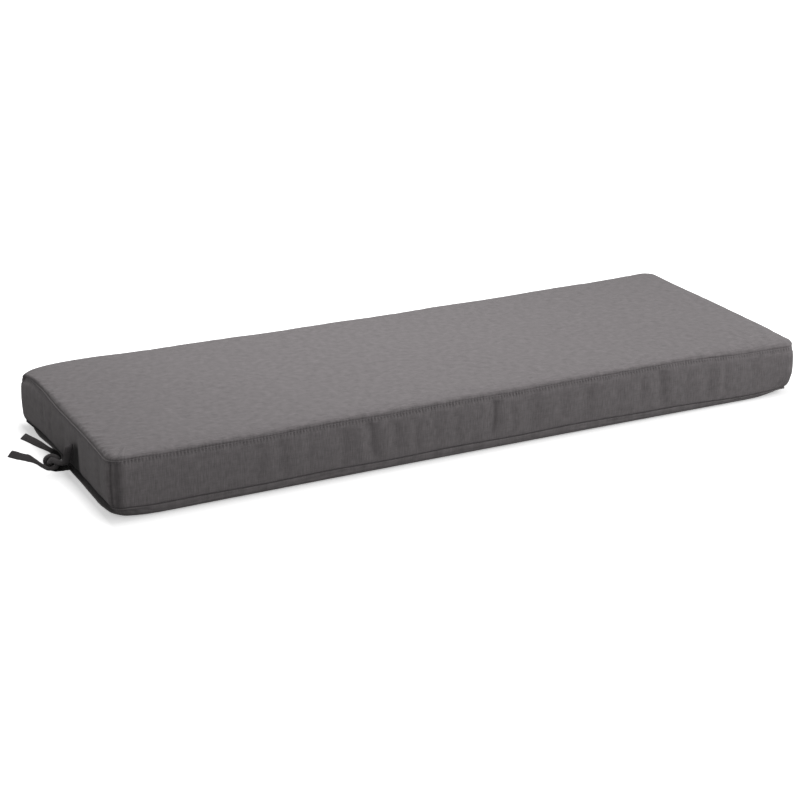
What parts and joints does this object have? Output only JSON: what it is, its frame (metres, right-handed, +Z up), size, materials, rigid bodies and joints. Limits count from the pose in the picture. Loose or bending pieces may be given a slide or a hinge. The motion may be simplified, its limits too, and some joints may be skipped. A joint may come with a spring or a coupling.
{
  "type": "bench cushion",
  "caption": "Long box-edged bench cushion, foam filled, in a grey woven cover drawn in along sewn seams, with a pair of knotted fabric ties at one end.",
  "frame": {"origin": "middle of the flat underside, where the cushion rests", "axes": "+X along the length, away from the end with the ties; -Y is the front long side; +Z up through the crown"},
  "size_m": [1.1161, 0.382, 0.0894],
  "materials": {
    "cover_cloth": "matte woven upholstery cloth in a mottled mid grey",
    "tie_cloth": "matte flat-sewn strap of the same cloth, darker"
  },
  "bodies": {
    "root": {"cushion": "cover_cloth", "tie_high": "tie_cloth", "tie_low": "tie_cloth"}
  },
  "joints": []
}
